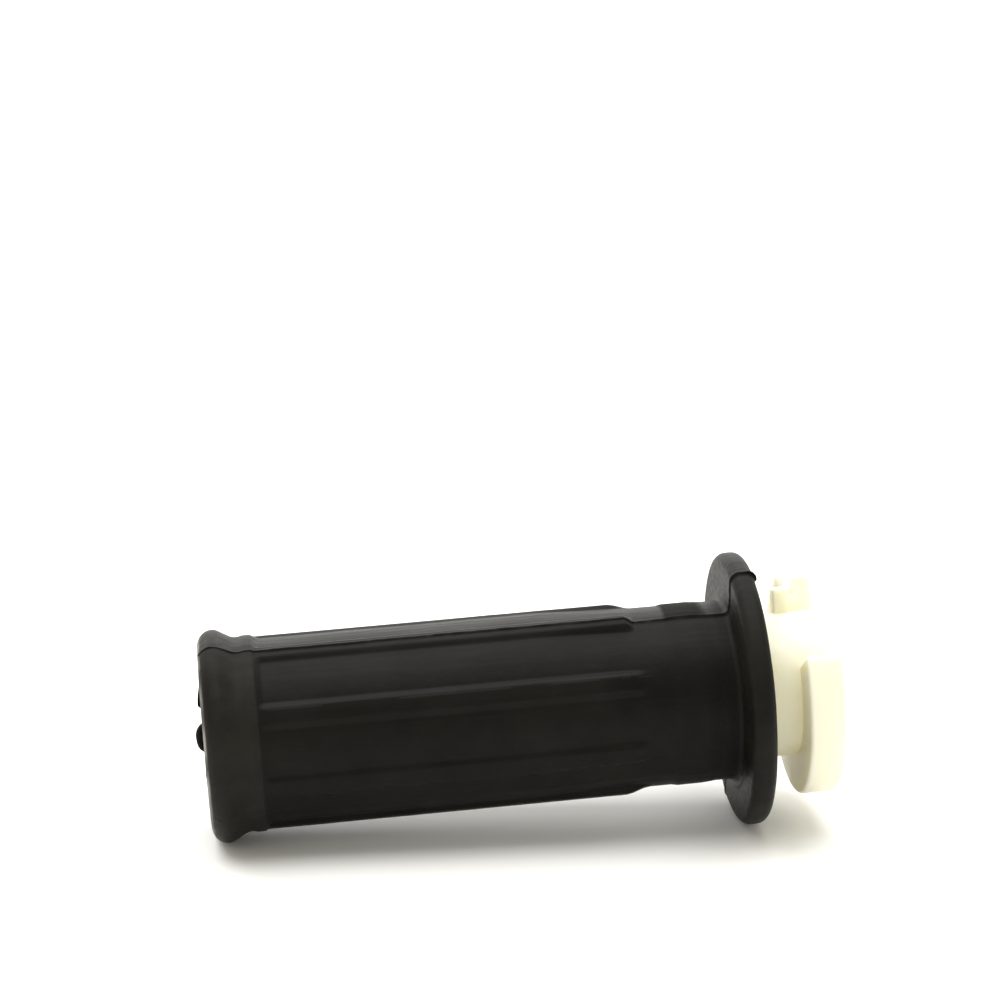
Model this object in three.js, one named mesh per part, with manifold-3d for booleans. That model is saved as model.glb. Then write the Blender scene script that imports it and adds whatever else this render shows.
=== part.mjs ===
// Throttle grip of a moped: a moulded rubber grip pushed onto a nylon throttle tube
// whose outer end carries the cable drum. Millimetres, +Z up.
// The handlebar axis is X. X = 0 is the drum's outer face, where the handlebar enters,
// and the grip's closed end lies at negative X.
import * as THREE from "three";
import { mergeVertices } from "three/addons/utils/BufferGeometryUtils.js";
import Module from "manifold-3d";

const wasm = await Module();
wasm.setup();

// ---------------------------------------------------------------- driving dimensions
const gap = 0.3;                 // air left between the two pieces where they touch
const segments = 64;             // facets round every turned surface

// Places along the axis, counted back from the open end.
const openEndX = 0;              // the tube's mouth, flush with the drum's outer face
const drumInnerX = -6.3;         // side of the drum that faces the flange
const flangeOuterX = -13.0;
const flangeThickness = 4.3;
const ribEndX = -36.0;           // full height of the ribs ends here
const ribRun = 1.4;              // length of the slope at a rib's end
const valleyEndX = -50.0;        // from here the valleys slope gently down to the neck
const collarX = -101.2;          // end of the collar, where the ribs start
const gripEndX = -110.9;         // face of the closed end
const endWall = 4.2;             // rubber between the bore's bottom and the end face

// Radii.
const barBore = 11.2;            // runs on a 22 mm handlebar
const tubeRadius = 12.8;
const bodyRadius = 16.0;
const valleyRadius = 16.5;       // between the ribs
const ribRadius = 17.1;
const bandRadius = 16.3;
const collarRadius = 17.35;
const bulbRadius = 18.8;
const flangeRadius = 24.4;
const drumRadius = 19.8;

// Turns about the axis, in degrees from -Y (the front) towards +Z (the top).
const partingAngle = 72.6;       // plane of the mould's joint
const ribCount = 8;
const ribWidth = 14.5;
const drumStart = 32.5;          // front end of the drum's sector
const drumSweep = -277.8;        // runs down the front, round the back and up to the top
const tabAngle = 104;

// ---------------------------------------------------------------- geometry helpers
const radians = THREE.MathUtils.degToRad;
const point = (x, radius) => new THREE.Vector2(radius, x);

// A profile of [x, radius] points turned about the X axis.
function turned(profile) {
  const geometry = new THREE.LatheGeometry(profile, segments);
  return geometry.rotateZ(-Math.PI / 2);
}

// Points of a circular arc in the profile plane. Angles are in degrees from +X to +radius.
function arcPoints(centreX, centreRadius, arcRadius, from, to, steps) {
  const points = [];
  for (let i = 0; i <= steps; i += 1) {
    const angle = radians(from + ((to - from) * i) / steps);
    const x = centreX + arcRadius * Math.cos(angle);
    points.push(point(x, centreRadius + arcRadius * Math.sin(angle)));
  }
  return points;
}

// Half a cosine wave between two profile points, for soft waists and swells.
function easedPoints(startX, startRadius, endX, endRadius, steps) {
  const points = [];
  for (let i = 1; i < steps; i += 1) {
    const share = i / steps;
    const rise = (1 - Math.cos(Math.PI * share)) / 2;
    const x = startX + (endX - startX) * share;
    points.push(point(x, startRadius + (endRadius - startRadius) * rise));
  }
  return points;
}

// An outline in the plane across the axis, drawn out along X from x0 to x1.
function drawnAlongAxis(outline, x0, x1, chamfer = 0) {
  const geometry = new THREE.ExtrudeGeometry(outline, {
    depth: x1 - x0 - 2 * chamfer,
    bevelEnabled: chamfer > 0,
    bevelSize: chamfer,
    bevelThickness: chamfer,
    bevelOffset: -chamfer,
    bevelSegments: 1,
    curveSegments: 1,
  });
  const acrossAxis = new THREE.Matrix4().makeBasis(
    new THREE.Vector3(0, 1, 0),
    new THREE.Vector3(0, 0, 1),
    new THREE.Vector3(1, 0, 0),
  );
  geometry.applyMatrix4(acrossAxis);
  return geometry.translate(x0 + chamfer, 0, 0);
}

// A piece of a ring between two radii, from one turn to another.
function ringSector(innerRadius, outerRadius, from, to) {
  const steps = Math.max(2, Math.ceil(Math.abs(to - from) / 6));
  const outline = [];
  for (const [radius, first, last] of [[outerRadius, from, to], [innerRadius, to, from]]) {
    for (let i = 0; i <= steps; i += 1) {
      const angle = radians(first + ((last - first) * i) / steps);
      outline.push(new THREE.Vector2(-radius * Math.cos(angle), radius * Math.sin(angle)));
    }
  }
  return new THREE.Shape(outline);
}

// A closed geometry as a solid for joining and cutting.
function toSolid(geometry) {
  const bare = geometry.clone();
  bare.deleteAttribute("normal");
  bare.deleteAttribute("uv");
  const merged = mergeVertices(bare, 1e-4);
  const corners = merged.index.array;
  const triangles = [];
  for (let i = 0; i < corners.length; i += 3) {
    const [a, b, c] = [corners[i], corners[i + 1], corners[i + 2]];
    if (a !== b && b !== c && c !== a) triangles.push(a, b, c);
  }
  return new wasm.Manifold(new wasm.Mesh({
    numProp: 3,
    vertProperties: new Float32Array(merged.attributes.position.array),
    triVerts: new Uint32Array(triangles),
  }));
}

function toGeometry(solid) {
  const mesh = solid.getMesh();
  const geometry = new THREE.BufferGeometry();
  geometry.setAttribute("position", new THREE.BufferAttribute(mesh.vertProperties, 3));
  geometry.setIndex(new THREE.BufferAttribute(mesh.triVerts, 1));
  geometry.computeVertexNormals();
  return geometry;
}

// ---------------------------------------------------------------- rubber grip
const flangeInnerX = flangeOuterX - flangeThickness;
const boreEndX = gripEndX + endWall;
const rubberBore = tubeRadius + gap;

// Three rings round the tube bite into grooves in the rubber, so the grip can't slide off.
const keyRings = [-92, -64, -36];
const keyWidth = 3;
const keyHeight = 0.7;

// Outline of the rings, or with a margin the grooves that take them, along a plain cylinder.
function keyedWall(radius, margin) {
  const points = [];
  for (const x of keyRings) {
    const half = keyWidth / 2 + margin;
    points.push(point(x - half, radius), point(x - half + keyHeight, radius + keyHeight));
    points.push(point(x + half - keyHeight, radius + keyHeight), point(x + half, radius));
  }
  return points;
}

// Turned body: closed end, bulb, waist, collar, plain body, neck band and flange.
function gripBody() {
  const bulbRound = 2.7;
  const bulbX = gripEndX + bulbRound;
  const waistX = -104.4;
  const waistRadius = 17.1;
  const bandFrom = -28.9;
  const bandTo = -21.1;
  const bandSlope = 0.4;
  const rimRound = 1.7;
  const rimRadius = flangeRadius - rimRound;
  const filletRadius = 1.3;
  return turned([
    point(gripEndX, 0),
    ...arcPoints(bulbX, bulbRadius - bulbRound, bulbRound, 180, 60, 5),
    ...easedPoints(bulbX + bulbRound * 0.5, bulbRadius - 0.35, waistX, waistRadius, 5),
    point(waistX, waistRadius),
    point(waistX + 1.4, collarRadius),
    point(collarX - 0.4, collarRadius),
    point(collarX, collarRadius - 0.4),
    point(collarX + 0.3, valleyRadius),
    point(valleyEndX, valleyRadius),
    point(ribEndX + ribRun, bodyRadius),
    point(bandFrom, bodyRadius),
    point(bandFrom + bandSlope, bandRadius),
    point(bandTo - bandSlope, bandRadius),
    point(bandTo, bodyRadius),
    point(flangeInnerX - filletRadius, bodyRadius),
    point(flangeInnerX, bodyRadius + filletRadius),
    ...arcPoints(flangeInnerX + rimRound, rimRadius, rimRound, 180, 90, 4),
    ...arcPoints(flangeOuterX - rimRound, rimRadius, rimRound, 90, 0, 4),
    point(flangeOuterX, rubberBore),
    ...keyedWall(rubberBore, gap).reverse(),
    point(boreEndX, rubberBore),
    point(boreEndX, 0),
  ]);
}

// Raised lengthwise ribs from the collar to the neck, sloped at the neck end.
function ribs() {
  const footRadius = bodyRadius - 0.6;
  const slopeTop = ribRadius + 0.1;
  const envelope = toSolid(turned([
    point(collarX - 1, 0),
    point(collarX - 1, slopeTop),
    point(ribEndX, slopeTop),
    point(ribEndX + ribRun, bodyRadius - 0.2),
    point(ribEndX + ribRun, 0),
  ]));
  let all = null;
  for (let i = 0; i < ribCount; i += 1) {
    const middle = partingAngle + (i * 360) / ribCount;
    const outline = ringSector(footRadius, ribRadius, middle - ribWidth / 2, middle + ribWidth / 2);
    const rib = toSolid(drawnAlongAxis(outline, collarX - 0.6, ribEndX + ribRun));
    all = all ? all.add(rib) : rib;
  }
  return all.intersect(envelope);
}

// A thin ridge of flash on the closed end, along the mould's joint, at one side of the stub.
function flashRidge(angle, from, to, height) {
  const width = 0.6;
  const sunk = 0.5;
  const ridge = new THREE.BoxGeometry(height + sunk, width, to - from);
  ridge.translate(gripEndX + (sunk - height) / 2, 0, (from + to) / 2);
  return toSolid(ridge.rotateX(radians(90 - angle)));
}

// What the mould leaves on the closed end: the gate's domed stub and the flash beside it.
function mouldMarks() {
  const stubRadius = 2.6;
  const stubHeight = 1.6;
  const sunk = 0.5;
  const stub = toSolid(turned([
    point(gripEndX - stubHeight, 0),
    point(gripEndX - stubHeight, stubRadius * 0.45),
    point(gripEndX - stubHeight * 0.8, stubRadius * 0.8),
    point(gripEndX - stubHeight * 0.45, stubRadius),
    point(gripEndX + sunk, stubRadius),
    point(gripEndX + sunk, 0),
  ]));
  const upper = flashRidge(partingAngle, 5.5, 11.5, 0.7);
  const lower = flashRidge(partingAngle + 180, 7.5, 11, 0.45);
  return stub.add(upper).add(lower);
}

function rubberGrip() {
  return toGeometry(toSolid(gripBody()).add(ribs()).add(mouldMarks()));
}

// ---------------------------------------------------------------- nylon throttle tube
const tubeEndX = boreEndX + gap;

// The tube itself, open at both ends, with the rings that key it into the rubber.
function tubeWall() {
  const leadIn = 0.6;
  return turned([
    point(tubeEndX, barBore),
    point(tubeEndX, tubeRadius - leadIn),
    point(tubeEndX + leadIn, tubeRadius),
    ...keyedWall(tubeRadius, 0),
    point(openEndX, tubeRadius),
    point(openEndX, barBore),
    point(tubeEndX, barBore),
  ]);
}

// Sector that winds up the cable.
function drum() {
  const rootRadius = (barBore + tubeRadius) / 2;
  const outline = ringSector(rootRadius, drumRadius, drumStart, drumStart + drumSweep);
  return drawnAlongAxis(outline, drumInnerX, openEndX, 0.5);
}

// Groove for the cable, from the drum's rear end down to the underside.
function cableGroove() {
  const grooveFloor = 15.8;
  const rearEnd = drumStart + drumSweep;
  const outline = ringSector(grooveFloor, drumRadius + 2, rearEnd - 6, rearEnd + 150);
  return drawnAlongAxis(outline, -4.9, -2.9);
}

// Round pocket for the nipple on the cable's end, open on the drum's outer face.
function nipplePocket() {
  const nippleRadius = 2.7;
  const pocketDepth = 5.2;
  const pocketRing = 16.4;
  const pocket = new THREE.CylinderGeometry(nippleRadius, nippleRadius, pocketDepth + 1, 24);
  pocket.rotateZ(Math.PI / 2);
  pocket.translate(1 - (pocketDepth + 1) / 2, 0, 0);
  const angle = radians(drumStart + drumSweep + 16);
  return pocket.translate(0, -pocketRing * Math.cos(angle), pocketRing * Math.sin(angle));
}

// Tab against the drum that stops the tube's turn inside the throttle housing.
function stopTab() {
  const halfWidth = 6;
  const outline = ringSector(12, 17.4, tabAngle - halfWidth, tabAngle + halfWidth);
  return drawnAlongAxis(outline, -8.0, drumInnerX + 1);
}

function throttleTube() {
  const solid = toSolid(tubeWall()).add(toSolid(drum())).add(toSolid(stopTab()));
  return toGeometry(solid.subtract(toSolid(cableGroove())).subtract(toSolid(nipplePocket())));
}

// ---------------------------------------------------------------- the assembly
const rubber = new THREE.MeshStandardMaterial({ color: 0x1d1c19, roughness: 0.62, metalness: 0 });
const nylon = new THREE.MeshStandardMaterial({ color: 0xf2eed6, roughness: 0.4, metalness: 0 });

function named(name, geometry, material) {
  const mesh = new THREE.Mesh(geometry, material);
  mesh.name = name;
  return mesh;
}

const throttleGrip = new THREE.Group();
throttleGrip.add(named("rubber_grip", rubberGrip(), rubber));
throttleGrip.add(named("throttle_tube", throttleTube(), nylon));

export default throttleGrip;
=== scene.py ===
"""Looks of the throttle grip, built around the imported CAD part.

Shapes are worked out in millimetres in the part's own frame: X is the handlebar axis, the
drum's outer face is X = 0 and the closed end lies at negative X. Turns about the axis are in
degrees from -Y (the front) towards +Z (the top).
"""
import math

import bmesh
import bpy
import numpy as np
from mathutils import Matrix, Vector, noise


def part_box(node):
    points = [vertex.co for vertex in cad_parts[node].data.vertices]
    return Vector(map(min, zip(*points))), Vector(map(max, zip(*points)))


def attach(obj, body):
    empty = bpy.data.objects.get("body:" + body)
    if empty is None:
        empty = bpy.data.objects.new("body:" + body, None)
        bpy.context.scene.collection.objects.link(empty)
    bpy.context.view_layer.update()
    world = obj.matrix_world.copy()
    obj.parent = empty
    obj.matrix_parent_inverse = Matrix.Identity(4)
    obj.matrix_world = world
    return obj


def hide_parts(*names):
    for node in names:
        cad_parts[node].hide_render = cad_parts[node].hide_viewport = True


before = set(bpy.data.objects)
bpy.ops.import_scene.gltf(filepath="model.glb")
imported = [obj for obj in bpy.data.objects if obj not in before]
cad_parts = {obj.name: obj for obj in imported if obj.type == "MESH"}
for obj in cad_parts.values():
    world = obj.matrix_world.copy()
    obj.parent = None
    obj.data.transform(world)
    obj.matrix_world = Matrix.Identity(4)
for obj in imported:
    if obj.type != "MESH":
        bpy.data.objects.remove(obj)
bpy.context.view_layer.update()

MM = 0.001
GRIP_LOW, GRIP_HIGH = (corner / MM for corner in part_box("rubber_grip"))
TUBE_LOW, TUBE_HIGH = (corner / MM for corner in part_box("throttle_tube"))

# ------------------------------------------------------------------ dimensions, in mm and degrees
STUB_TIP_X = GRIP_LOW.x
STUB_HEIGHT = 1.6
STUB_RADIUS = 2.6
GRIP_END_X = STUB_TIP_X + STUB_HEIGHT
BULB_RADIUS = 18.8
BULB_ROUND = 2.7
WAIST_X = -104.4
WAIST_RADIUS = 17.05
COLLAR_X = -101.2
COLLAR_RADIUS = 17.35
BODY_RADIUS = 16.0
VALLEY_RADIUS = 16.5
VALLEY_END_X = -50.0
RIB_RADIUS = 17.1
RIB_END_X = -36.0
RIB_RUN = 1.4
RIB_COUNT = 8
RIB_WIDTH = 14.5
BAND_FROM = -28.9
BAND_TO = -21.1
BAND_RADIUS = 16.22
FLANGE_OUTER_X = GRIP_HIGH.x
FLANGE_THICKNESS = 4.3
FLANGE_INNER_X = FLANGE_OUTER_X - FLANGE_THICKNESS
FLANGE_RADIUS = GRIP_HIGH.z
RIM_ROUND = 1.7
BORE_RADIUS = 13.1
END_WALL = 4.2
PARTING_ANGLE = 72.6
CREST_HEIGHT = 0.25
CREST_REACH = 4.2
JOINT_HEIGHT = 0.16
WEDGE_HEIGHT = 0.4
UPPER_SLIVER = 0.75
LOWER_SLIVER = 0.5
FACE_DEPTH = 0.2

BAR_BORE = 11.2
TUBE_RADIUS = 12.8
WALL_MIDDLE = (BAR_BORE + TUBE_RADIUS) / 2
TUBE_END_X = TUBE_LOW.x
DRUM_OUTER_X = TUBE_HIGH.x
DRUM_INNER_X = -6.3
DRUM_RADIUS = -TUBE_LOW.z
DRUM_START = 32.5
DRUM_SWEEP = -277.8
DRUM_REAR_END = DRUM_START + DRUM_SWEEP
DRUM_EDGE = 1.1
GROOVE_FROM_X = -4.9
GROOVE_TO_X = -2.9
GROOVE_FLOOR = 15.8
GROOVE_RUN_OUT = 8
GROOVE_SWEEP = 158
GROOVE_EDGE = 0.8
TAB_ANGLE = 104
TAB_SWEEP = 12
TAB_EDGE = 0.4
TAB_RADIUS = 17.4
TAB_FROM_X = -8.0
NIPPLE_RADIUS = 2.7
POCKET_DEPTH = 5.2
POCKET_RING = 16.4
POCKET_OFFSET = 16
POCKET_COLUMNS = 48
TUBE_COLUMNS = 192
MOUTH_LIP = 0.05
KEY_RINGS = (-92, -64, -36)
KEY_WIDTH = 3
KEY_HEIGHT = 0.7
KEY_GAP = 0.3

# Rings of the rubber's mesh: fine ones lie closer together where the shape changes fast. Each
# fine stretch is given by its middle and its half length.
FINE_SPACING = 0.35
COARSE_SPACING = 1.05
BORE_SPACING = 6
GRIP_ARC_STEP = 0.26
FINE_STRETCHES = (
    (GRIP_END_X, FACE_DEPTH),
    (COLLAR_X, 1.2),
    (RIB_END_X + RIB_RUN / 2, 1.4),
    (BAND_FROM + 0.3, 0.7),
    (BAND_TO - 0.5, 0.7),
)


# ------------------------------------------------------------------ outlines
def smooth(value, low, high):
    """0 below low, 1 above high, and an S-shaped rise between them."""
    share = np.clip((np.asarray(value, float) - low) / (high - low), 0, 1)
    return share * share * (3 - 2 * share)


def rounded(corners, arc_step=0.2, arc_steps=None):
    """A path through corners (x, radius, fillet), with each corner turned into a true arc.

    Arcs are cut into steps of about arc_step, or into exactly arc_steps when that is given.
    """
    path = []
    for i, (x, radius, fillet) in enumerate(corners):
        here = np.array((x, radius), float)
        if fillet == 0 or i in (0, len(corners) - 1):
            path.append(here)
            continue
        before = np.array(corners[i - 1][:2]) - here
        after = np.array(corners[i + 1][:2]) - here
        before, after = before / np.linalg.norm(before), after / np.linalg.norm(after)
        half = math.acos(np.clip(before @ after, -1, 1)) / 2
        start = here + before * fillet / math.tan(half)
        middle = (before + after) / np.linalg.norm(before + after)
        centre = here + middle * fillet / math.sin(half)
        turn = math.pi - 2 * half
        side = np.sign(before[0] * after[1] - before[1] * after[0])
        steps = arc_steps or max(3, math.ceil(fillet * turn / arc_step))
        for angle in np.linspace(0, -side * turn, steps + 1):
            arm = start - centre
            path.append(centre + np.array((
                arm[0] * math.cos(angle) - arm[1] * math.sin(angle),
                arm[0] * math.sin(angle) + arm[1] * math.cos(angle))))
    return np.array(path)


def divided(path, spacing):
    """The same path with each straight stretch cut into steps no longer than spacing(x)."""
    points = [path[0]]
    for start, end in zip(path[:-1], path[1:]):
        length = np.linalg.norm(end - start)
        direction = (end - start) / max(length, 1e-9)
        covered = 0
        while length - covered > 1.5 * spacing((start + direction * covered)[0]):
            covered += spacing((start + direction * covered)[0])
            points.append(start + direction * covered)
        points.append(end)
    return np.array(points)


# ------------------------------------------------------------------ meshes
def signed_volume(mesh):
    """Negative when the faces of a closed mesh point inwards."""
    shape = bmesh.new()
    shape.from_mesh(mesh)
    volume = shape.calc_volume(signed=True)
    shape.free()
    return volume


def new_object(name, points, faces):
    mesh = bpy.data.meshes.new(name)
    mesh.from_pydata([tuple(p) for p in np.asarray(points) * MM], [], faces)
    mesh.validate()
    mesh.update()
    if signed_volume(mesh) < 0:
        mesh.flip_normals()
    obj = bpy.data.objects.new(name, mesh)
    bpy.context.scene.collection.objects.link(obj)
    return obj


def ring_faces(rows, columns):
    """Quads between neighbouring rings of a grid whose columns close round the axis."""
    faces = []
    for i in range(rows - 1):
        for j in range(columns):
            k = (j + 1) % columns
            here, above = i * columns, (i + 1) * columns
            faces.append((here + j, here + k, above + k, above + j))
    return faces


def capped_grid(name, grid):
    """Closed skin over rings of points, with a single point closing each end."""
    rows, columns = grid.shape[:2]
    flat = grid.reshape(-1, 3)
    first, last = grid[0].mean(0), grid[-1].mean(0)
    faces = ring_faces(rows, columns)
    low, high = len(flat), len(flat) + 1
    top = (rows - 1) * columns
    for j in range(columns):
        k = (j + 1) % columns
        faces.append((low, k, j))
        faces.append((high, top + j, top + k))
    return new_object(name, np.vstack([flat, first, last]), faces)


def around(x, radius, angle):
    """Points at x, at a radius and a turn about the axis."""
    turn = np.radians(angle)
    x, radius, turn = np.broadcast_arrays(x, radius, turn)
    return np.stack([x, -radius * np.cos(turn), radius * np.sin(turn)], -1)


def grid_normals(grid):
    along = np.gradient(grid, axis=0)
    across = np.roll(grid, -1, 1) - np.roll(grid, 1, 1)
    normals = np.cross(along, across)
    return normals / np.maximum(np.linalg.norm(normals, axis=2, keepdims=True), 1e-9)


def noise_field(points, scale, seed):
    """Smooth noise from -1 to 1 at each point, with features about scale mm across."""
    shift = Vector((seed * 7.3, seed * 3.1, seed * 5.7))
    flat = points.reshape(-1, 3) / scale
    values = [noise.noise(Vector(p) + shift) for p in flat]
    return np.array(values).reshape(points.shape[:2])


def point_attribute(obj, name, values):
    attribute = obj.data.attributes.new(name, "FLOAT", "POINT")
    padded = np.zeros(len(obj.data.vertices), np.float32)
    padded[:values.size] = values.ravel()
    attribute.data.foreach_set("value", padded)


# ------------------------------------------------------------------ rubber grip
def grip_outline():
    """From the stub's tip over the outside to the flange, and back down the bore."""
    key_half = KEY_WIDTH / 2 + KEY_GAP
    outside = []
    for turn in np.linspace(0, math.pi / 2, 11):
        x = STUB_TIP_X + STUB_HEIGHT * (1 - math.cos(turn))
        outside.append((x, STUB_RADIUS * math.sin(turn), 0))
    outside += [
        (GRIP_END_X, BULB_RADIUS, BULB_ROUND),
        (GRIP_END_X + 3.3, BULB_RADIUS, 2.2),
        (WAIST_X, WAIST_RADIUS, 2.6),
        (WAIST_X + 1.5, COLLAR_RADIUS, 1.2),
        (COLLAR_X - 0.4, COLLAR_RADIUS, 0.6),
        (COLLAR_X + 1.1, VALLEY_RADIUS, 0.9),
        (VALLEY_END_X, VALLEY_RADIUS, 0.6),
        (RIB_END_X + RIB_RUN, BODY_RADIUS, 0.6),
        (BAND_FROM - 0.3, BODY_RADIUS, 0.8),
        (BAND_FROM + 0.9, BAND_RADIUS, 0.8),
        (BAND_TO - 2.6, BAND_RADIUS, 1.5),
        (BAND_TO, BODY_RADIUS, 1.5),
        (FLANGE_INNER_X - 0.15, BODY_RADIUS, 1.0),
        (FLANGE_INNER_X - 0.15, BODY_RADIUS + 1.4, 0.3),
        (FLANGE_INNER_X, BODY_RADIUS + 1.9, 0.5),
        (FLANGE_INNER_X, FLANGE_RADIUS, RIM_ROUND),
        (FLANGE_OUTER_X, FLANGE_RADIUS, RIM_ROUND),
        (FLANGE_OUTER_X, BORE_RADIUS, 0.4),
    ]
    bore = []
    for x in reversed(KEY_RINGS):
        bore.append((x + key_half, BORE_RADIUS, 0))
        bore.append((x + key_half - KEY_HEIGHT, BORE_RADIUS + KEY_HEIGHT, 0))
        bore.append((x - key_half + KEY_HEIGHT, BORE_RADIUS + KEY_HEIGHT, 0))
        bore.append((x - key_half, BORE_RADIUS, 0))
    bore_end = GRIP_END_X + END_WALL
    bore += [(bore_end, BORE_RADIUS, 0.3), (bore_end, 0, 0)]
    return outside, bore


def grip_spacing(x):
    """Distance between neighbouring rings at x."""
    fine = any(abs(x - middle) < reach for middle, reach in FINE_STRETCHES)
    return FINE_SPACING if fine else COARSE_SPACING


def grip_path():
    """The outline's points between its two ends on the axis, and how many are outside."""
    outside, bore = grip_outline()
    outer_path = divided(rounded(outside, GRIP_ARC_STEP), grip_spacing)
    bore_path = divided(rounded(bore), lambda x: BORE_SPACING)
    return np.vstack([outer_path, bore_path])[1:-1], len(outer_path) - 1


def grip_columns():
    """Turns of the mesh's columns: close together at rib walls and at the mould's joint."""
    half_rib = RIB_WIDTH / 2
    rib_wall = [half_rib + s for s in np.arange(-3.3, 2.4, 0.5)]
    steps = [0, 0.25, 0.5, 0.8, 1.2, 1.8, 2.7, *rib_wall, 10.8, 13.5, 18]
    sector = 360 / RIB_COUNT
    offsets = sorted({-s for s in steps} | set(steps) | {sector / 2})
    turns = [PARTING_ANGLE + i * sector + s for i in range(RIB_COUNT) for s in offsets]
    return np.array(turns)


# The functions below take x and radius as a column of values, one for each ring, and turns as
# a row of values, one for each column of the mesh.
def off_joint(turns):
    """Turn away from the plane of the mould's joint, from -90 to 90."""
    return (turns - PARTING_ANGLE + 90) % 180 - 90


def rib_height(x, radius, turns):
    """How far the ribs stand above the turned surface."""
    sector = 360 / RIB_COUNT
    off_middle = (turns - PARTING_ANGLE + sector / 2) % sector - sector / 2
    arc = np.abs(np.radians(off_middle)) * RIB_RADIUS
    half = math.radians(RIB_WIDTH / 2) * RIB_RADIUS
    across = 1 - smooth(arc, half - 1.0, half + 0.5)
    # Away from the mould's joint the ribs run out more gently.
    gentle = 0.3 + 1.4 * smooth(np.abs(off_joint(turns)), 15, 25)
    run_out = smooth(x, RIB_END_X - gentle, RIB_END_X + RIB_RUN + gentle)
    top = RIB_RADIUS - (RIB_RADIUS - BODY_RADIUS) * run_out
    on_body = (x > COLLAR_X - 0.4) & (x < RIB_END_X + RIB_RUN + 2)
    return np.where(on_body, np.maximum(0, top - radius), 0) * across


def joint_crest(radius, turns):
    """The halves of the mould swell slightly towards their joint, so a low crest runs along it."""
    arc = np.radians(np.abs(off_joint(turns))) * radius
    return CREST_HEIGHT * np.clip(1 - arc / CREST_REACH, 0, 1) ** 1.5


def joint_ridge(grid, x, turns, seed):
    """Ragged, slightly wandering flash along both sides of the mould's joint, from 0 to 1."""
    width = 0.32 + 0.25 * smooth(x, COLLAR_X, COLLAR_X + 2) + 0.2 * smooth(x, RIB_END_X, BAND_FROM)
    radius = np.hypot(grid[..., 1], grid[..., 2])
    wander = 0.14 * noise_field(grid, 2.0, seed + 2)
    arc = np.abs(np.radians(off_joint(turns)) * radius + wander)
    ragged = 0.75 + 0.5 * noise_field(grid, 2.2, seed) + 0.35 * noise_field(grid, 0.8, seed + 1)
    return (1 - smooth(arc, width * 0.3, width)) * np.clip(ragged, 0, 1)


def torn_sliver(grid, radius, turns, angle, start, end, seed):
    """A thin, ragged ridge of flash on the closed end, from 0 to 1."""
    off_ridge = np.abs((turns - angle + 180) % 360 - 180)
    arc = np.radians(off_ridge) * radius
    reach = smooth(radius, start, start + 0.8) * (1 - smooth(radius, start + 1.5, end))
    ragged = np.clip(0.85 + 0.35 * noise_field(grid, 2.5, seed), 0, 1)
    return (1 - smooth(arc, 0.15, 0.45)) * reach * ragged


def rim_wedge(x, radius, turns):
    """The small wedge of flash left where the upper joint crosses the flange's rim, from 0 to 1; it is
    painted dark as shade.
    """
    off_upper = np.abs((turns - PARTING_ANGLE + 180) % 360 - 180)
    slope = 1 - smooth(np.radians(off_upper) * FLANGE_RADIUS, 0.1, 0.5)
    outward = smooth(x, FLANGE_INNER_X + 1.8, FLANGE_OUTER_X - 0.5)
    return np.where(radius > FLANGE_RADIUS - RIM_ROUND, slope * outward, 0)


def grip_relief(grid, x, radius, turns, outer):
    """Height of the fine relief on the outside, and a mask of painted shade along the mould's flash.
    """
    on_face = x < GRIP_END_X + FACE_DEPTH
    on_stub = on_face & (radius < STUB_RADIUS + 0.3)
    # The moulding is never quite true: soft waves, a little stronger on the bulb and collar.
    waves = 0.05 * noise_field(grid, 9, 1)
    waves = waves + np.where(x < COLLAR_X, 0.05, 0.015) * noise_field(grid, 3, 2)
    torn_stub = np.where(on_stub, 0.06 * noise_field(grid, 1.3, 3), 0)
    ridge = joint_ridge(grid, x, turns, 4)
    flash = np.where(on_face, 0, JOINT_HEIGHT * ridge)
    upper = torn_sliver(grid, radius, turns, PARTING_ANGLE, 6.2, 13.2, 6)
    lower = torn_sliver(grid, radius, turns, PARTING_ANGLE + 180, 7.2, 12.0, 8)
    sliver = np.where(on_face, UPPER_SLIVER * upper + LOWER_SLIVER * lower, 0)
    wedge = rim_wedge(x, radius, turns)
    height = np.where(outer, waves + torn_stub + flash + sliver + WEDGE_HEIGHT * wedge, 0)
    # Mask of painted shade: near-black along the flash, the end's slivers and the rim's wedge, in
    # place of the shade these ridges cast.
    flash_shade_mask = np.where(outer, np.clip(1.3 * ridge + 2.5 * sliver + 2.5 * wedge, 0, 1), 0)
    # The whole stub gets the full mask and is made as dark too.
    return height, np.where(on_stub, 1, flash_shade_mask)


def dust_bloom(x):
    """Dust holds on the closed end up to the collar, and less on the flange."""
    on_flange = smooth(x, FLANGE_INNER_X - 2, FLANGE_INNER_X)
    return np.clip(np.where(x < COLLAR_X, 1.0, 0) + 0.5 * on_flange, 0, 1)


def painted_edge_highlight(grid, x, radius):
    """Painted highlight in ragged patches along the closed end's rounded edge."""
    ring = smooth(x, GRIP_END_X + 0.02, GRIP_END_X + 0.12)
    ring = ring * (1 - smooth(x, GRIP_END_X + 0.3, GRIP_END_X + 0.6)) * (radius > 10)
    return ring * np.clip(0.5 + 1.1 * noise_field(grid, 5, 11), 0, 1)


def dull_band(grid, x, turns):
    """The neck's band is duller, mostly on the half of the moulding behind the joint."""
    along = x + 0.35 * noise_field(grid, 4, 9)
    dull = smooth(along, BAND_FROM, BAND_FROM + 0.5) * (1 - smooth(along, BAND_TO - 0.9, BAND_TO))
    return dull * np.where((turns - PARTING_ANGLE) % 360 < 180, 1, 0.15)


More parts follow.
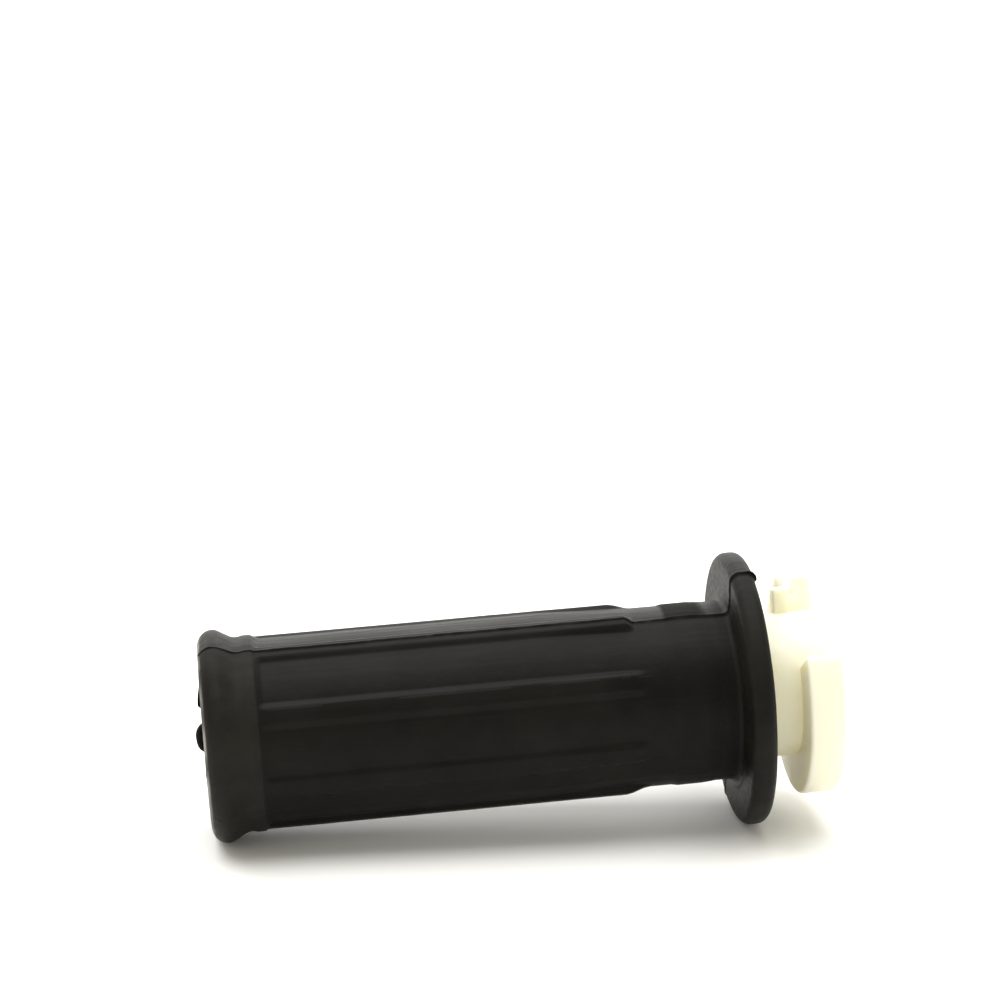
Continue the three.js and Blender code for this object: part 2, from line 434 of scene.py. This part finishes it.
def rubber_grip():
    path, outer_rows = grip_path()
    x, radius = path[:, :1], path[:, 1:]
    turns = grip_columns()[None, :]
    outer = np.arange(len(path))[:, None] < outer_rows
    crested = outer & (x > GRIP_END_X + FACE_DEPTH) & (x < FLANGE_OUTER_X - 0.1)
    raised = radius + rib_height(x, radius, turns)
    raised = raised + np.where(crested, joint_crest(radius, turns), 0)
    grid = around(x, raised, turns)

    height, flash_shade_mask = grip_relief(grid, x, radius, turns, outer)
    relief = grid + grid_normals(grid) * height[..., None]
    obj = capped_grid("rubber_grip_skin", relief)
    # Mask of painted shade along the mould's flash, slivers, rim wedge and stub.
    point_attribute(obj, "joint_flash_shade", flash_shade_mask)
    point_attribute(obj, "bloom", np.broadcast_to(dust_bloom(x), flash_shade_mask.shape))
    # Mask of the painted highlight on the closed end's rounded edge.
    point_attribute(obj, "edge_highlight_paint", np.where(outer, painted_edge_highlight(relief, x, radius), 0))
    point_attribute(obj, "dull_band", np.where(outer, dull_band(relief, x, turns), 0))
    return obj


# ------------------------------------------------------------------ nylon throttle tube
def turned_loop(name, outline, columns):
    """A closed outline turned all the way round the axis."""
    turns = np.arange(columns) * 360 / columns
    grid = around(outline[:, :1], outline[:, 1:], turns[None, :])
    rows = len(outline)
    faces = ring_faces(rows, columns)
    last = (rows - 1) * columns
    for j in range(columns):
        k = (j + 1) % columns
        faces.append((last + j, last + k, k, j))
    return new_object(name, grid.reshape(-1, 3), faces)


def swept_sector(name, section, start, sweep, edge):
    """section(inset) gives a closed outline. It is swept round the axis, with rounded ends."""
    mean_radius = section(0)[:, 1].mean()
    edge_turn = math.degrees(edge / mean_radius)
    stations = []
    for angle in np.linspace(0, 90, 5):
        share = math.radians(angle)
        stations.append((edge_turn * (1 - math.sin(share)), edge * (1 - math.cos(share))))
    ends = [(turn, inset) for turn, inset in reversed(stations)]
    steps = max(2, math.ceil((abs(sweep) - 2 * edge_turn) / 2.0))
    middle = [(t, 0) for t in np.linspace(edge_turn, abs(sweep) - edge_turn, steps + 1)[1:-1]]
    far = [(abs(sweep) - turn, inset) for turn, inset in stations]
    direction = math.copysign(1, sweep)
    grid = []
    for turn, inset in ends + middle + far:
        outline = section(inset)
        grid.append(around(outline[:, 0], outline[:, 1], start + direction * turn))
    return capped_grid(name, np.array(grid))


def drum_section(inset):
    """Across the drum's rim: rounded outer corners, and a foot sunk into the tube's wall."""
    return rounded([
        (DRUM_OUTER_X - inset, WALL_MIDDLE, 0),
        (DRUM_OUTER_X - inset, DRUM_RADIUS - inset, 0.6),
        (DRUM_INNER_X + inset, DRUM_RADIUS - inset, 0.6),
        (DRUM_INNER_X + inset, WALL_MIDDLE, 0),
    ], arc_steps=6)


def tab_section(inset):
    """Across the stop tab, which starts inside the drum and has its foot in the tube's wall."""
    return rounded([
        (DRUM_INNER_X + 1, WALL_MIDDLE, 0),
        (DRUM_INNER_X + 1, TAB_RADIUS - inset, 0.3),
        (TAB_FROM_X + inset, TAB_RADIUS - inset, 0.5),
        (TAB_FROM_X + inset, WALL_MIDDLE, 0),
    ], arc_steps=5)


def groove_section(inset):
    """The cable groove's cutter: a round floor, and a flare that breaks the rim's edges."""
    outside = DRUM_RADIUS + 1.5
    half = (GROOVE_TO_X - GROOVE_FROM_X) / 2
    return rounded([
        (GROOVE_TO_X + 0.6 - inset, outside, 0),
        (GROOVE_TO_X + 0.3 - inset, DRUM_RADIUS, 0),
        (GROOVE_TO_X - inset, DRUM_RADIUS - 0.35, 0),
        (GROOVE_TO_X - inset, GROOVE_FLOOR + inset, half * 0.8 - inset * 0.5),
        (GROOVE_FROM_X + inset, GROOVE_FLOOR + inset, half * 0.8 - inset * 0.5),
        (GROOVE_FROM_X + inset, DRUM_RADIUS - 0.35, 0),
        (GROOVE_FROM_X - 0.3 + inset, DRUM_RADIUS, 0),
        (GROOVE_FROM_X - 0.6 + inset, outside, 0),
    ], arc_steps=7)


def pocket_cutter():
    """Round pocket for the cable's nipple, with a small lead-in at its mouth."""
    mouth = 1.0
    outline = np.array([
        (DRUM_OUTER_X - POCKET_DEPTH, 0.01),
        (DRUM_OUTER_X - POCKET_DEPTH, NIPPLE_RADIUS),
        (DRUM_OUTER_X - 0.35, NIPPLE_RADIUS),
        (DRUM_OUTER_X + mouth, NIPPLE_RADIUS + 0.35 + mouth),
        (DRUM_OUTER_X + mouth, 0.01),
    ])
    turns = np.arange(POCKET_COLUMNS) * 360 / POCKET_COLUMNS
    grid = around(outline[:, :1], outline[:, 1:], turns[None, :])
    angle = math.radians(DRUM_REAR_END + POCKET_OFFSET)
    grid = grid + np.array((0, -POCKET_RING * math.cos(angle), POCKET_RING * math.sin(angle)))
    return capped_grid("pocket_cutter", grid)


def combine(target, other, operation):
    """Joins other to target or cuts it away, and removes other."""
    modifier = target.modifiers.new(operation, "BOOLEAN")
    modifier.operation = operation
    modifier.solver = "EXACT"
    modifier.object = other
    bpy.context.view_layer.objects.active = target
    bpy.ops.object.modifier_apply(modifier=modifier.name)
    bpy.data.objects.remove(other)


def throttle_tube():
    wall = [(TUBE_END_X, BAR_BORE, 0), (TUBE_END_X, TUBE_RADIUS, 0.5)]
    for x in KEY_RINGS:
        half = KEY_WIDTH / 2
        wall.append((x - half, TUBE_RADIUS, 0))
        wall.append((x - half + KEY_HEIGHT, TUBE_RADIUS + KEY_HEIGHT, 0))
        wall.append((x + half - KEY_HEIGHT, TUBE_RADIUS + KEY_HEIGHT, 0))
        wall.append((x + half, TUBE_RADIUS, 0))
    wall += [(DRUM_OUTER_X + MOUTH_LIP, TUBE_RADIUS, 0.3),
             (DRUM_OUTER_X + MOUTH_LIP, BAR_BORE, 0.3),
             (TUBE_END_X + 1, BAR_BORE, 0)]
    outline = divided(rounded(wall, 0.12), lambda x: BORE_SPACING)
    tube = turned_loop("throttle_tube_skin", outline, TUBE_COLUMNS)
    drum = swept_sector("drum", drum_section, DRUM_START, DRUM_SWEEP, DRUM_EDGE)
    tab = swept_sector("tab", tab_section, TAB_ANGLE - TAB_SWEEP / 2, TAB_SWEEP, TAB_EDGE)
    groove_start = DRUM_REAR_END - GROOVE_RUN_OUT
    groove = swept_sector("groove", groove_section, groove_start, GROOVE_SWEEP, GROOVE_EDGE)
    combine(tube, drum, "UNION")
    combine(tube, tab, "UNION")
    combine(tube, groove, "DIFFERENCE")
    combine(tube, pocket_cutter(), "DIFFERENCE")
    return tube


# ------------------------------------------------------------------ materials
def material(name):
    made = bpy.data.materials.new(name)
    made.use_nodes = True
    shader = made.node_tree.nodes["Principled BSDF"]
    return made, made.node_tree, shader


def add_node(tree, kind, **settings):
    node = tree.nodes.new(kind)
    for key, value in settings.items():
        if key in node.inputs:
            node.inputs[key].default_value = value
        else:
            setattr(node, key, value)
    return node


def add_noise(tree, vector, scale, detail, rough=0.5):
    node = add_node(tree, "ShaderNodeTexNoise", Scale=scale, Detail=detail, Roughness=rough)
    tree.links.new(vector, node.inputs["Vector"])
    return node.outputs["Fac"]


def ramp(tree, value, low, high, low_result, high_result):
    """Maps a value range to another, clamped."""
    node = add_node(tree, "ShaderNodeMapRange")
    tree.links.new(value, node.inputs["Value"])
    for socket, number in (("From Min", low), ("From Max", high),
                           ("To Min", low_result), ("To Max", high_result)):
        node.inputs[socket].default_value = number
    return node.outputs["Result"]


def mix_colour(tree, share, first, second):
    """Blends two colours, each a plain colour or another node's output."""
    node = add_node(tree, "ShaderNodeMix", data_type="RGBA")
    tree.links.new(share, node.inputs["Factor"])
    for socket, colour in ((node.inputs[6], first), (node.inputs[7], second)):
        if isinstance(colour, tuple):
            socket.default_value = (*colour, 1)
        else:
            tree.links.new(colour, socket)
    return node.outputs[2]


def arithmetic(tree, operation, first, second):
    node = add_node(tree, "ShaderNodeMath", operation=operation)
    for socket, value in zip(node.inputs, (first, second)):
        if isinstance(value, (int, float)):
            socket.default_value = value
        else:
            tree.links.new(value, socket)
    return node.outputs[0]


def part_coordinates(tree, stretch=(1, 1, 1)):
    """Object coordinates in millimetres, stretched per axis."""
    coordinates = add_node(tree, "ShaderNodeTexCoord")
    scaled = add_node(tree, "ShaderNodeMapping")
    scaled.inputs["Scale"].default_value = tuple(s / MM for s in stretch)
    tree.links.new(coordinates.outputs["Object"], scaled.inputs["Vector"])
    return scaled.outputs["Vector"]


def add_bump(tree, height, distance_mm, strength, previous=None):
    node = add_node(tree, "ShaderNodeBump", Strength=strength, Distance=distance_mm * MM)
    tree.links.new(height, node.inputs["Height"])
    if previous is not None:
        tree.links.new(previous, node.inputs["Normal"])
    return node.outputs["Normal"]


def rubber_material():
    made, tree, shader = material("moulded_rubber")
    even = part_coordinates(tree)
    along = part_coordinates(tree, (0.06, 1, 1))
    # Mask of painted shade along the mould's flash, slivers, rim wedge and stub.
    flash_shade = add_node(tree, "ShaderNodeAttribute", attribute_name="joint_flash_shade").outputs["Fac"]
    bloom = add_node(tree, "ShaderNodeAttribute", attribute_name="bloom").outputs["Fac"]
    dull = add_node(tree, "ShaderNodeAttribute", attribute_name="dull_band").outputs["Fac"]
    # Mask of the painted highlight on the closed end's rounded edge.
    edge = add_node(tree, "ShaderNodeAttribute", attribute_name="edge_highlight_paint").outputs["Fac"]

    clouds = add_noise(tree, even, 0.09, 4, 0.6)
    streaks = add_noise(tree, along, 1.1, 3)
    specks = add_noise(tree, even, 3.2, 2, 0.7)

    black = (0.0024, 0.0022, 0.0016)
    worn = (0.0058, 0.0055, 0.0043)
    dusty = (0.019, 0.0180, 0.0145)
    base = mix_colour(tree, ramp(tree, clouds, 0.35, 0.7, 0, 1), black, worn)
    base = mix_colour(tree, ramp(tree, streaks, 0.5, 0.8, 0, 0.5), base, worn)
    dust = arithmetic(tree, "MULTIPLY", bloom, ramp(tree, clouds, 0.3, 0.75, 0.1, 0.7))
    base = mix_colour(tree, dust, base, dusty)
    pale_specks = ramp(tree, specks, 0.68, 0.78, 0, 0.35)
    base = mix_colour(tree, pale_specks, base, dusty)
    # Painted highlight: pale grey on the closed end's rounded edge, where it catches the light.
    base = mix_colour(tree, edge, base, (0.24, 0.236, 0.22))
    # Painted shade: near-black over the flash, slivers, rim wedge and stub, standing in for the shade
    # along those ridges.
    base = mix_colour(tree, flash_shade, base, (0.0012, 0.0012, 0.0012))
    tree.links.new(base, shader.inputs["Base Color"])

    roughness = ramp(tree, streaks, 0.3, 0.75, 0.40, 0.54)
    roughness = arithmetic(tree, "ADD", roughness, arithmetic(tree, "MULTIPLY", dust, 0.14))
    roughness = arithmetic(tree, "ADD", roughness, arithmetic(tree, "MULTIPLY", dull, 0.3))
    roughness = arithmetic(tree, "ADD", roughness, arithmetic(tree, "MULTIPLY", edge, -0.2))
    roughness = arithmetic(tree, "ADD", roughness, arithmetic(tree, "MULTIPLY", flash_shade, 0.4))
    tree.links.new(roughness, shader.inputs["Roughness"])
    shader.inputs["Specular IOR Level"].default_value = 0.1

    grain = add_noise(tree, even, 4.5, 5, 0.65)
    normal = add_bump(tree, grain, 0.05, 0.5)
    lumps = add_noise(tree, even, 0.7, 3, 0.55)
    normal = add_bump(tree, lumps, 0.12, 0.4, normal)
    drawn = add_noise(tree, along, 2.2, 2)
    normal = add_bump(tree, drawn, 0.03, 0.35, normal)
    tree.links.new(normal, shader.inputs["Normal"])
    return made


def nylon_material():
    made, tree, shader = material("natural_nylon")
    even = part_coordinates(tree)
    flow = part_coordinates(tree, (0.25, 1, 1))
    clouds = add_noise(tree, even, 0.12, 3)
    ivory = (0.85, 0.82, 0.67)
    yellowed = (0.82, 0.78, 0.59)
    base = mix_colour(tree, ramp(tree, clouds, 0.4, 0.75, 0, 0.6), ivory, yellowed)
    tree.links.new(base, shader.inputs["Base Color"])
    streaks = add_noise(tree, flow, 0.9, 3)
    tree.links.new(ramp(tree, streaks, 0.3, 0.7, 0.34, 0.48), shader.inputs["Roughness"])
    shader.inputs["Subsurface Weight"].default_value = 0.8
    shader.inputs["Subsurface Radius"].default_value = (1.0, 0.9, 0.55)
    shader.inputs["Subsurface Scale"].default_value = 5 * MM
    shader.inputs["Specular IOR Level"].default_value = 0.45
    grain = add_noise(tree, even, 2.6, 4, 0.6)
    normal = add_bump(tree, grain, 0.03, 0.3)
    normal = add_bump(tree, streaks, 0.05, 0.25, normal)
    tree.links.new(normal, shader.inputs["Normal"])
    return made


def floor_material():
    made, tree, shader = material("white_paper")
    even = part_coordinates(tree)
    fibres = add_noise(tree, even, 0.02, 3)
    tone = mix_colour(tree, ramp(tree, fibres, 0.3, 0.7, 0, 1), (0.93, 0.93, 0.92), (0.95, 0.95, 0.94))
    tree.links.new(tone, shader.inputs["Base Color"])
    shader.inputs["Roughness"].default_value = 0.9
    shader.inputs["Specular IOR Level"].default_value = 0.1
    return made


def finish_piece(obj, surface, sharp_angle):
    obj.data.materials.clear()
    obj.data.materials.append(surface)
    obj.data.polygons.foreach_set("use_smooth", [True] * len(obj.data.polygons))
    if sharp_angle:
        obj.data.set_sharp_from_angle(angle=math.radians(sharp_angle))


# ------------------------------------------------------------------ the pieces
grip = rubber_grip()
finish_piece(grip, rubber_material(), None)
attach(grip, "root")
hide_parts("rubber_grip")

tube = throttle_tube()
finish_piece(tube, nylon_material(), 32)
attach(tube, "root")
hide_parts("throttle_tube")


# ------------------------------------------------------------------ floor
# The grip lies on its bulb and its flange, so its axis rises towards the larger flange.
bulb_centre = Vector((GRIP_END_X + BULB_ROUND, -(BULB_RADIUS - BULB_ROUND)))
rim_centre = Vector((FLANGE_INNER_X + RIM_ROUND, -(FLANGE_RADIUS - RIM_ROUND)))
between = rim_centre - bulb_centre
rest_tilt = -math.atan2(between.y, between.x) + math.asin((RIM_ROUND - BULB_ROUND) / between.length)
floor_normal = Vector((math.sin(rest_tilt), 0, math.cos(rest_tilt)))
floor_along = Vector((math.cos(rest_tilt), 0, -math.sin(rest_tilt)))
floor_deep = Vector((0, 1, 0))
floor_axes = Matrix((floor_along, floor_deep, floor_normal)).transposed()
skin = np.array([v.co for v in grip.data.vertices])
floor_height = float((skin @ np.array(floor_normal)).min())

FLOOR_RADIUS = 4.0
bpy.ops.mesh.primitive_circle_add(vertices=96, radius=FLOOR_RADIUS, fill_type="NGON")
floor = bpy.context.active_object
floor.name = "paper_floor"
floor.data.transform(floor_axes.to_4x4())
floor.data.transform(Matrix.Translation(floor_normal * floor_height))
floor.data.materials.append(floor_material())


# ------------------------------------------------------------------ camera
CAMERA_AZIMUTH = math.radians(6.27)
CAMERA_ELEVATION = math.radians(14.23)
CAMERA_DISTANCE = 0.495
CAMERA_AIM = Vector((-0.0548, 0.0142, 0.0348))
CAMERA_LENS = 99

looking = floor_axes @ Vector((
    math.sin(CAMERA_AZIMUTH) * math.cos(CAMERA_ELEVATION),
    math.cos(CAMERA_AZIMUTH) * math.cos(CAMERA_ELEVATION),
    -math.sin(CAMERA_ELEVATION)))
right = looking.cross(floor_normal).normalized()
above = right.cross(looking)
camera_data = bpy.data.cameras.new("camera")
camera_data.lens = CAMERA_LENS
camera_data.sensor_width = 36
camera = bpy.data.objects.new("camera", camera_data)
turn = Matrix((right, above, -looking)).transposed().to_4x4()
camera.matrix_world = Matrix.Translation(CAMERA_AIM - looking * CAMERA_DISTANCE) @ turn
bpy.context.scene.collection.objects.link(camera)
bpy.context.scene.camera = camera


# ------------------------------------------------------------------ light
GRIP_MIDDLE = Vector((-0.055, 0, 0))


def softbox(name, place, size, power):
    """A rectangular lamp that faces the middle of the grip."""
    data = bpy.data.lights.new(name, "AREA")
    data.shape = "RECTANGLE"
    data.size, data.size_y = size
    data.energy = power
    lamp = bpy.data.objects.new(name, data)
    lamp.location = place
    lamp.rotation_euler = (GRIP_MIDDLE - Vector(place)).to_track_quat("-Z", "Y").to_euler()
    bpy.context.scene.collection.objects.link(lamp)


softbox("overhead_softbox", place=(-0.05, 0.05, 1.0), size=(1.4, 1.0), power=13.5)
softbox("back_wall", place=(-0.05, 2.4, 1.3), size=(4.5, 2.4), power=64)

world = bpy.data.worlds.new("studio")
world.use_nodes = True
world.node_tree.nodes["Background"].inputs["Color"].default_value = (1, 0.97, 0.87, 1)
world.node_tree.nodes["Background"].inputs["Strength"].default_value = 0.78
bpy.context.scene.world = world
bpy.context.scene.view_settings.view_transform = "Standard"
